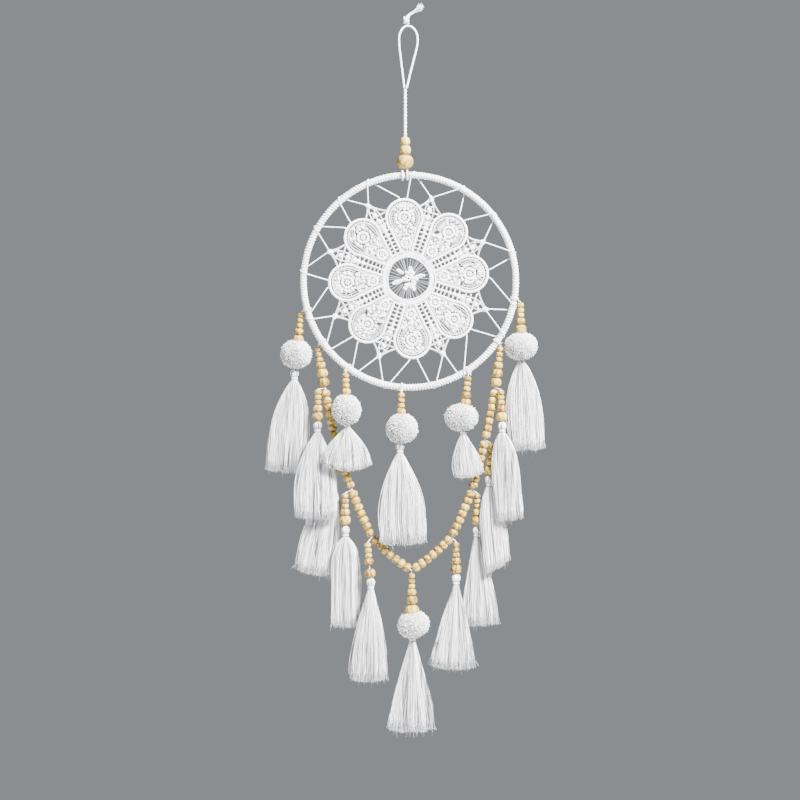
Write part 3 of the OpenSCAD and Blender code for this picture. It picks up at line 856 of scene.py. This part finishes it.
def make_rosette(lace, centre, rings):
    """Rings round a small eyelet, the wide ones joined by short bars and lumpy with stitches."""
    for inner, outer in zip(rings, rings[1:]):
        bars = int(outer * 2.1)
        for k in range(bars):
            a = 360 * k / bars + rng.uniform(-9, 9)
            lace.line(polar(centre, inner, a), polar(centre, outer, a), rng.uniform(0.9, 1.4), 0.8, 0.05)
    for k, r in enumerate(rings):
        lace.ring(centre, r, (1.5, 2.1)[k], 1.4, 0.45)
    r = rings[-1]
    count = int(2 * math.pi * r / 2.6)
    for k in range(count):
        lace.lump(polar(centre, r + rng.normal(0, 0.25), 360 * k / count), rng.uniform(1.1, 1.6), 0.9, 0.6)


def make_slits(lace, kind, side):
    """The openwork beside a petal's large rosette."""
    centre = (PETAL_X, 0)
    if kind == "long":
        for k, y in enumerate((9.1, 11.3, 13.4)):
            lace.line((45.5 + 1.3 * k, side * (y - 1.0)), (62 - 1.2 * k, side * (y + 0.3)), 1.05, 0.9)
        lace.line((45.6, side * 7.4), (47.5, side * 13.2), 1.3, 0.8)
        lace.line((61.6, side * 8.4), (59.8, side * 13.9), 1.3, 0.8)
        return
    low, high, step = {"rows": (62, 142, 13), "band": (58, 128, 23), "hatch": (56, 126, 9)}[kind]
    for r in (9.6, 11.6, 13.6):
        if kind != "hatch" or r != 11.6:
            arc = (low, high) if side > 0 else (-high, -low)
            lace.ring(centre, r, 1.0, 0.85, 0.05, arc)
    for k, a in enumerate(range(low, high + 1, step)):
        lean = 12 if kind == "hatch" else 0
        lace.line(polar(centre, 9.2, side * (a - lean)), polar(centre, 13.8, side * (a + lean)), 0.95, 0.8)


def make_petal(lace, kind):
    lace.stroke(petal_outline(1.2), 2.4, 1.7, sides=10)
    gap_outer, gap_inner = petal_outline(2.1), petal_outline(4.1)
    lace.stroke(gap_inner, 1.05, 1.0, 0.15)
    for i in range(3, len(gap_inner) - 2, 3):
        lace.line(gap_outer[i], gap_inner[i], 0.9, 0.7)
    ground = petal_outline(4.2)
    big, small = (PETAL_X, 0.0), (32.6, 0.0)

    def slit(p):
        away = np.hypot(p[:, 0] - PETAL_X, p[:, 1])
        if kind == "long":
            return (np.abs(p[:, 1]) > 8.2) & (p[:, 0] > 46) & (p[:, 0] < 61.4)
        angle = np.degrees(np.arctan2(np.abs(p[:, 1]), p[:, 0] - PETAL_X))
        return (away > 9.2) & (angle > 58) & (angle < 136)

    def keep(p):
        far_big = np.hypot(*(p - big).T) > 6.6
        far_small = np.hypot(*(p - small).T) > 5.3
        return inside(p, ground) & far_big & far_small & ~slit(p)

    net(lace, keep, (22, 74, -17, 17), 2.4, 1.2, 40)
    make_slits(lace, kind, 1)
    make_slits(lace, kind, -1)
    make_rosette(lace, big, (1.4, 4.7))
    for k in range(15):
        spot = polar(big, 8.0 + rng.normal(0, 0.4), 24 * k + rng.normal(0, 3))
        lace.lump(spot, rng.uniform(1.0, 1.7), 1.0, 0.35)
    make_rosette(lace, small, (1.3, 4.2))
    for a in (-48, -24, 0, 24, 48, 150, 180, 210):
        if rng.random() < 0.85:
            lace.ring(polar(big, 11.4 + rng.normal(0, 0.3), a), 0.95, 1.0, 1.0, 0.3)
    spots = rng.uniform((25, -15), (72, 15), (130, 2))
    clear = (np.hypot(*(spots - big).T) > 6.8) & (np.hypot(*(spots - small).T) > 5.6)
    for spot in spots[inside(spots, petal_outline(5.2)) & ~slit(spots) & clear]:
        lace.lump(spot, rng.uniform(0.7, 1.5), 0.9, rng.uniform(0.1, 0.6))
    for x, y in ((41, 0), (42.4, 4.4), (42.2, -4.6), (39.2, 5.9), (39.4, -5.8), (45, 8.4), (44.8, -8.2)):
        lace.lump((x + rng.normal(0, 0.3), y + rng.normal(0, 0.3)), rng.uniform(1.2, 1.8), 1.0, 0.4)


def make_ladder(lace):
    """Two rows of holes growing outwards, then an open net that ends in a picot."""
    spine = [(x, 0.2 * math.sin(x)) for x in np.arange(22.5, 52, 0.8)]
    lace.stroke(spine, 1.4, 1.1, 0.25)
    x, step = 25.4, 3.3
    while x < 51:
        w = 1.0 + 0.012 * (x - 25)
        for side in (-1, 1):
            lace.line((x, 0), (x - 0.4, side * 5.4), w, 0.85, 0.25)
        lace.lump((x, 0), 0.7 + 0.07 * (x - 25), 0.9, 0.3)
        x += step
        step *= 1.06
    for x, r in ((52, 2.1), (58.4, 2.5), (65.4, 2.3)):
        lace.lump((x, 0), r, 1.1, 0.3)
    lace.line((51, 0), (66, 0), 1.7, 1.0)
    for side in (-1, 1):
        middle = smooth_route([(50.5, side * 2.3, 0), (56, side * 2.9, 0), (61.5, side * 3.9, 0),
                               (66.5, side * 3.9, 0), (71, side * 2.2, 0), (75, side * 0.5, 0)], 0.8)
        lace.stroke(middle[:, :2], 1.3, 0.9, 0.1)
        for x0, x1, y1 in ((54.8, 54, 4.8), (59, 58.6, 6.6), (63.4, 63.8, 9.4), (68, 69.6, 5.0)):
            lace.line((x0, 0), (x1, side * y1), 1.4, 0.95, 0.2)
        edge = smooth_route([(62.8, side * 13.4, 0), (65.6, side * 9.6, 0), (69.6, side * 5.2, 0),
                             (75, side * 1.0, 0)], 0.8)
        lace.stroke(edge[:, :2], 1.7, 1.1)
    lace.lump((74.9, 0), 2.5, 1.3, 0.1)
    lace.lump((76.6, 0.6), 1.7, 1.2, 0.4)
    for _ in range(4):
        a = rng.uniform(-1.3, 1.3)
        lace.line((76, 0), (76.4 + 2.4 * math.cos(a), 2.6 * math.sin(a)), 0.5, 0.5)


def make_centre(lace):
    lace.ring((0, 0), 21.6, 4.6, 1.5)
    lace.ring((0, 0), 19.6, 1.3, 1.7)
    lace.ring((0, 0), 23.9, 1.4, 1.7)
    angle = 0.0
    while angle < 354:
        a = math.radians(angle)
        b = a + rng.normal(0, 0.03)
        outer = (20 * math.cos(a), 20 * math.sin(a))
        lace.line(outer, (7.5 * math.cos(b), 7.5 * math.sin(b)), 0.8, 0.7, -0.2)
        angle += rng.choice([6.2, 9.4, 11])
    lace.ring((0, 0), 1.6, 1.5, 1.2, 0.5)
    for _ in range(34):
        spot = polar((0, 0), rng.uniform(2.5, 7.8), rng.uniform(0, 360))
        lace.lump(spot, rng.uniform(1.1, 1.9), 1.1, rng.uniform(0, 0.6))
    for k, reach in enumerate((14.4, 11.4, 13.6, 14.8, 11.8, 13.2)):
        lace.turn = math.radians(14 + 60 * k + rng.normal(0, 11))
        wide = rng.uniform(0.9, 1.5)
        t = around(20)
        middle = (6 + reach) / 2
        p = np.stack([middle + (middle - 7) * np.cos(t), wide * np.sin(t) * (1 + 0.3 * np.cos(t))], -1)
        lace.stroke(p, 1.2, 1.2, 0.2, closed=True)
        for x in np.arange(7.5, reach, 2.2):
            lace.lump((x + rng.normal(0, 0.3), rng.normal(0, 0.4)), rng.uniform(1.0, 1.7), 1.1, 0.5)
    lace.turn = 0.0


def make_lace():
    lace = Lace()
    make_centre(lace)
    for k, kind in enumerate(SLIT_KINDS):
        lace.turn = math.radians(LACE_TURN - 45 * k + rng.normal(0, 0.5))
        make_petal(lace, kind)
        lace.turn, lace.lean = math.radians(LACE_TURN - 45 * k - 22.5), LEAN[k]
        make_ladder(lace)
        lace.lean = 0.0
    lace.skins.piece("lace_stitching", LACE, "hoop", ["lace_medallion"], "lace")


# ---- strands ----

# Each skirt's hem: the x of its two ends, its y, the heights of its two ends, and how full
# the skirt is: 1 for a cone, more for a bell.
HEMS = {
    "l1": (-132.6, -96, 10.6, -177, -177, 4), "l3": (-79.8, -34.2, -4.8, -174, -174, 1.8),
    "c": (-26, 16, -4.8, -242, -242, 2.8), "r3": (40.4, 68.4, -4.8, -180, -180, 2),
    "r1": (91, 124.4, 8, -157, -157, 4), "l2": (-106, -66, 2.2, -219, -219, 3),
    "la": (-106, -66, 12.4, -272, -272, 3), "lb": (-71.6, -43.6, 6.4, -318, -318, 8),
    "lc": (-55.8, -19.6, -3.4, -366, -366, 1.6), "b": (-21, 23.6, 4.2, -414, -414, 1.35),
    "rc": (16.6, 62.6, 2.5, -356, -356, 1.1), "rb": (48, 82, 12.6, -317.4, -317.4, 1.4),
    "ra": (69, 92.8, 5, -269, -259, 5), "r2": (79.4, 104.4, -1.8, -219.6, -219.6, 7),
}
# Each pompom's centre, its half-width and half-height, and its tilt in degrees.
POMPOM_AT = {
    "l1": ((-103.9, 5.2, -66.3), 14.0, 13.2, -4), "l3": ((-57.5, -6, -117.2), 13.1, 13.9, 0),
    "c": ((-7, -5, -134.3), 14.0, 13.5, 6), "r3": ((47, -5.4, -124.2), 14.7, 12.5, 0),
    "r1": ((101.8, 4.6, -59.2), 14.6, 12.4, 3), "b": ((3.4, 4.2, -313.6), 14.3, 12.3, 16),
}
POMPOM_R = 13.5
HEAD_R = 4.0
NECK_R = 2.48
NECK_H = 1.6
SKIRT_DEPTH = 5.6
HEAD_STRANDS = 44
POMPOM_YARNS = 7000


def bundle(skins, paths, radius, shade, sides=3):
    """Many thin threads at once: paths is (threads, points, 3)."""
    t = tangents(paths)
    side = unit(np.cross(t, np.array([0.31, 0.87, 0.38])))
    up = np.cross(side, t)
    a = around(sides)
    ring = np.cos(a)[:, None] * side[:, :, None] - np.sin(a)[:, None] * up[:, :, None]
    rings = paths[:, :, None] + radius[..., None, None] * ring
    v = lengths(paths)[..., None]
    uv = np.stack(np.broadcast_arrays(a / (2 * np.pi), v), -1)
    skins.grid(rings, uv, np.broadcast_to(np.asarray(shade)[:, None, None], rings.shape[:-1]))


def make_tassel(name):
    """Silk threads tied into a head, with a wound neck and an uneven hem."""
    head = from_hoop(STRANDS[name][2])
    x0, x1, y, z0, z1, full = HEMS[name]
    left, right = from_hoop((x0, y, z0)), from_hoop((x1, y, z1))
    neck = head - [0, 0, 0.95 * HEAD_R + NECK_H]
    top = neck - [0, 0, 0.9]
    half = (x1 - x0) / 2
    long = np.linalg.norm(top - (left + right) / 2)
    count = int(260 + 17 * half)

    def place(u, v, t):
        """The point of the skirt at (u, v) in its unit cross-section, t of the way to the hem."""
        t = np.asarray(t)
        run = np.clip(t, 0, None)
        wide = NECK_R + (half - NECK_R) * (1 - np.clip(1 - run, 0, 1)**full)
        deep = NECK_R + (SKIRT_DEPTH / 2 - NECK_R) * np.clip(3 * run, 0, 1)
        end = left + (right - left) * (1 + np.clip(u, -1, 1))[..., None] / 2
        rise = long - np.sqrt(long**2 - (end[..., 0] - top[0])**2)
        middle = top + (0.5 * (left + right) - top) * t[..., None]
        z = top[2] + (end[..., 2] - top[2]) * t + run**2 * rise
        return np.stack([middle[..., 0] + u * wide, middle[..., 1] + v * deep, z], -1)

    locks = 15 + int(half / 2)
    lock_u = np.sort(rng.uniform(-0.97, 0.97, locks))
    lock = rng.integers(0, locks, count)
    spread = rng.normal(0, 0.055, count)
    u0 = np.clip(lock_u[lock] + spread, -1, 1)
    u0 = np.where(rng.random(count) < 0.35, rng.uniform(-1, 1, count), u0)
    v0 = rng.choice([-1, 1], count) * rng.random(count)**0.5 * np.sqrt(np.clip(1 - u0**2, 0.05, 1))
    end = 1 - np.abs(rng.normal(0, 0.016, count)) - 0.04 * rng.random(locks)[lock]
    end = np.where(rng.random(count) < 0.1, end - rng.uniform(0.03, 0.14, count), end)
    stray = rng.random(count) < 0.012
    end = np.where(stray, rng.uniform(1.01, 1.05, count), end)
    t = np.linspace(0, 1, 16)**1.6 * end[:, None]
    bow = rng.normal(0, 0.06, (count, 1)) * np.sin(np.pi * np.clip(t, 0, 1))
    bow = bow + rng.normal(0, 0.04, (count, 1)) * np.clip(t, 0, 2)**2
    wave = 0.018 * np.sin(9 * t + rng.uniform(0, 6.28, (count, 1)))
    curl = rng.normal(0, 0.1, (count, 1)) * np.clip((t - 0.93) / 0.07, 0, 1)
    u, v = 0.96 * (u0[:, None] + bow + wave + curl), v0[:, None] + 0.5 * bow
    if name == "l2":
        side = np.sign(u0 + 0.1)[:, None]
        u = u + side * 0.11 * (1 - np.abs(u)) * np.clip((t - 0.45) / 0.2, 0, 1)
    skins = Skins()
    radius = rng.uniform(0.16, 0.27, (count, 1)) * np.where(t > 0.97, 0.6, 1)
    radius = radius * np.where(stray, 0.6, 1)[:, None]
    # painted shade placed at random: each lock and each thread gets its own darkening
    shade = 0.5 * rng.random(locks)[lock] + 0.5 * rng.random(count)
    bundle(skins, place(u, v, t), radius, shade)

    core_end = 0.45 if name == "l2" else 0.92
    rows = np.array([0.0, 0.03, 0.08, 0.2, 0.35, core_end])
    a = around(24)
    down = np.broadcast_to(rows[:, None], (6, 24))
    core = place(0.82 * np.cos(a)[None, :], -0.75 * np.sin(a)[None, :], down)
    # the core's low shade value colours it darker: painted shade inside the skirt
    skins.grid(core, np.zeros((6, 24, 2)), 0.3)

    a = around(HEAD_STRANDS) + rng.normal(0, 0.05, HEAD_STRANDS)
    tilt = np.radians(np.linspace(84, -58, 10))
    ball = np.stack([np.cos(tilt) * HEAD_R, np.sin(tilt) * HEAD_R], -1)
    ball = np.vstack([ball, [[NECK_R, -0.95 * HEAD_R - 0.4]]])
    paths = (head + turned(ball - [0.4, 0], a)).transpose(1, 0, 2)
    bundle(skins, paths, np.full(paths.shape[:2], 0.36), rng.random(HEAD_STRANDS), sides=4)
    inner = head + turned(ball, a) * [0.88, 0.88, 1]
    # the inner ball's lower shade value colours it a little darker: painted shade under the head strands
    skins.grid(inner[::-1], np.zeros((len(ball), HEAD_STRANDS, 2)), 0.4)
    spin = np.linspace(0, 2 * np.pi * 4.5, 90)
    wind = neck + np.stack([(NECK_R + 0.2) * np.cos(spin), (NECK_R + 0.2) * np.sin(spin),
                            -0.2 + spin / 28.3 * 2.0], -1)
    away = np.stack([np.cos(spin), np.sin(spin), 0 * spin], -1)
    sweep(skins, wind, away, 0.3, 0.3, sides=6, shade=0.6)
    skins.piece("silk_" + name, SILK, "strand_" + name, ["tassel_" + name], "silk")


def make_pompom(name):
    """Yarn ends standing out all round from a tied middle, trimmed to a ball."""
    place, wide, high, tilt = POMPOM_AT[name]
    centre = from_hoop(place)
    lean = math.radians(tilt)
    cos, sin = math.cos(lean), math.sin(lean)
    turn = np.array([[cos, 0, sin], [0, 1, 0], [-sin, 0, cos]])
    stretch = np.diag([wide, POMPOM_R, high]) @ turn
    count = POMPOM_YARNS
    k = np.arange(count) + 0.5
    z = 1 - 2 * k / count
    a = k * math.pi * (3 - math.sqrt(5))
    flat = np.sqrt(1 - z * z)
    out = unit(np.stack([flat * np.cos(a), flat * np.sin(a), z], -1) + rng.normal(0, 0.035, (count, 3)))
    phase = rng.uniform(0, 6.28, 3)
    x, y, up = out.T
    dent = 1 + 0.02 * np.sin(3.1 * x + 2.3 * up + phase[0]) * np.cos(2.7 * y + phase[1])
    dent += 0.012 * np.sin(7 * x + 6 * up + phase[2])
    tip = dent * (1 - np.abs(rng.normal(0, 0.015, count)))
    tip = np.where(rng.random(count) < 0.01, tip * rng.uniform(1.01, 1.06, count), tip)
    bend = rng.normal(0, 0.045, (count, 3))
    steps = np.array([0.8, 0.9, 0.96, 1.0])
    paths = out[:, None] * steps[:, None] + bend[:, None] * ((steps - 0.8) / 0.2)[:, None]**1.5 * 0.9
    paths = centre + (paths * tip[:, None, None]) @ stretch
    radius = rng.uniform(0.24, 0.38, (count, 1)) * np.array([1, 1, 0.95, 0.6])
    skins = Skins()
    # each fibre gets a random shade value: painted shade in the pile, placed at random
    bundle(skins, paths, radius, rng.random(count))
    rows, sides = 18, 32
    height = np.radians(np.linspace(-88, 88, rows))
    ball = turned(np.stack([np.cos(height), np.sin(height)], -1), around(sides))
    skins.grid(centre + 0.88 * ball @ stretch, np.zeros((rows, sides, 2)), 0.5)
    skins.piece("yarn_" + name, YARN, "strand_" + name, ["pompom_" + name], "yarn")


def make_strand_cord(name):
    knot, first, head = (np.array(p, float) for p in STRANDS[name])
    lift = first + [0, 0, 2.6]
    start = knot + unit(lift - knot) * (KNOT_R * 0.6)
    path = from_hoop(smooth_route([start, start * 0.4 + lift * 0.6, lift, first], 0.8))
    rest = from_hoop([first, head])
    t = np.linspace(0, 1, int(np.linalg.norm(rest[1] - rest[0]) / 0.8) + 2)[1:, None]
    path = np.vstack([path, rest[0] * (1 - t) + rest[1] * t])
    skins = Skins()
    round_cord(skins, path, THREAD_D / 2)
    cord = skins.piece("thread_" + name, THREAD, "strand_" + name, ["cord_" + name], "cotton")


def make_garland_cord():
    rise = np.array([0, 0, 0.7 * BEADS["s"][0] / 2 + 1])
    line = []
    for tie, (first, last), flip in (("lead_left", LEAD_LEFT, False), ("lead_right", LEAD_RIGHT, True)):
        first, last = np.array(first, float), np.array(last, float)
        knot = np.array(tie_knot(tie))
        part = [knot + unit(first + rise - knot) * KNOT_R * 0.6, first + rise, first, last]
        line.append(part[::-1] if flip else part)
    middle = [KNOTS[0]]
    for i in range(8):
        middle += [run_point(i, t) for t in (0.1, 0.3, 0.5, 0.7, 0.9)] + [KNOTS[i + 1]]
    path = from_hoop(smooth_route([*line[0], *middle, *line[1]], 0.8))
    skins = Skins()
    round_cord(skins, path, THREAD_D / 2)
    for k in range(9):
        small_knot(skins, from_hoop([KNOTS[k]])[0], 0.95, tails=1)
    cord = skins.piece("garland_thread", THREAD, "garland", ["garland_cord"], "cotton")


# ---- all together ----

make_camera()
make_stage()

# SHADOW and the wrap's darker grey colour the ply grooves: painted shade, mixed with random tone
WHITE, SHADOW = srgb(250, 250, 250), srgb(200, 201, 206)
COTTON = spun_material("cotton_cord", WHITE, SHADOW, 5.0, 2)
WRAP_COTTON = spun_material("wrap_cotton", WHITE, srgb(176, 177, 184), 4.5, 2)
THREAD = spun_material("cotton_thread", WHITE, SHADOW, 1.6, 2)
LACE = lace_material()
SILK = silk_material()
YARN = yarn_material()
TAN_WOOD = wood_material("turned_wood", srgb(214, 188, 94), srgb(180, 149, 64), srgb(100, 69, 22), 1.0)
PALE_WOOD = wood_material("pale_wood", srgb(212, 190, 104), srgb(184, 155, 74), srgb(122, 91, 38), 0.8)

make_hanger()
make_stem()
make_garland_cord()
for strand in STRANDS:
    make_strand_cord(strand)
make_lacing()
make_wrap()
make_ties()
make_beads()
make_lace()
for strand in STRANDS:
    make_tassel(strand)
for strand in POMPOMS:
    make_pompom(strand)
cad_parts["hoop_core"].data.materials.clear()
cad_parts["hoop_core"].data.materials.append(steel_material())
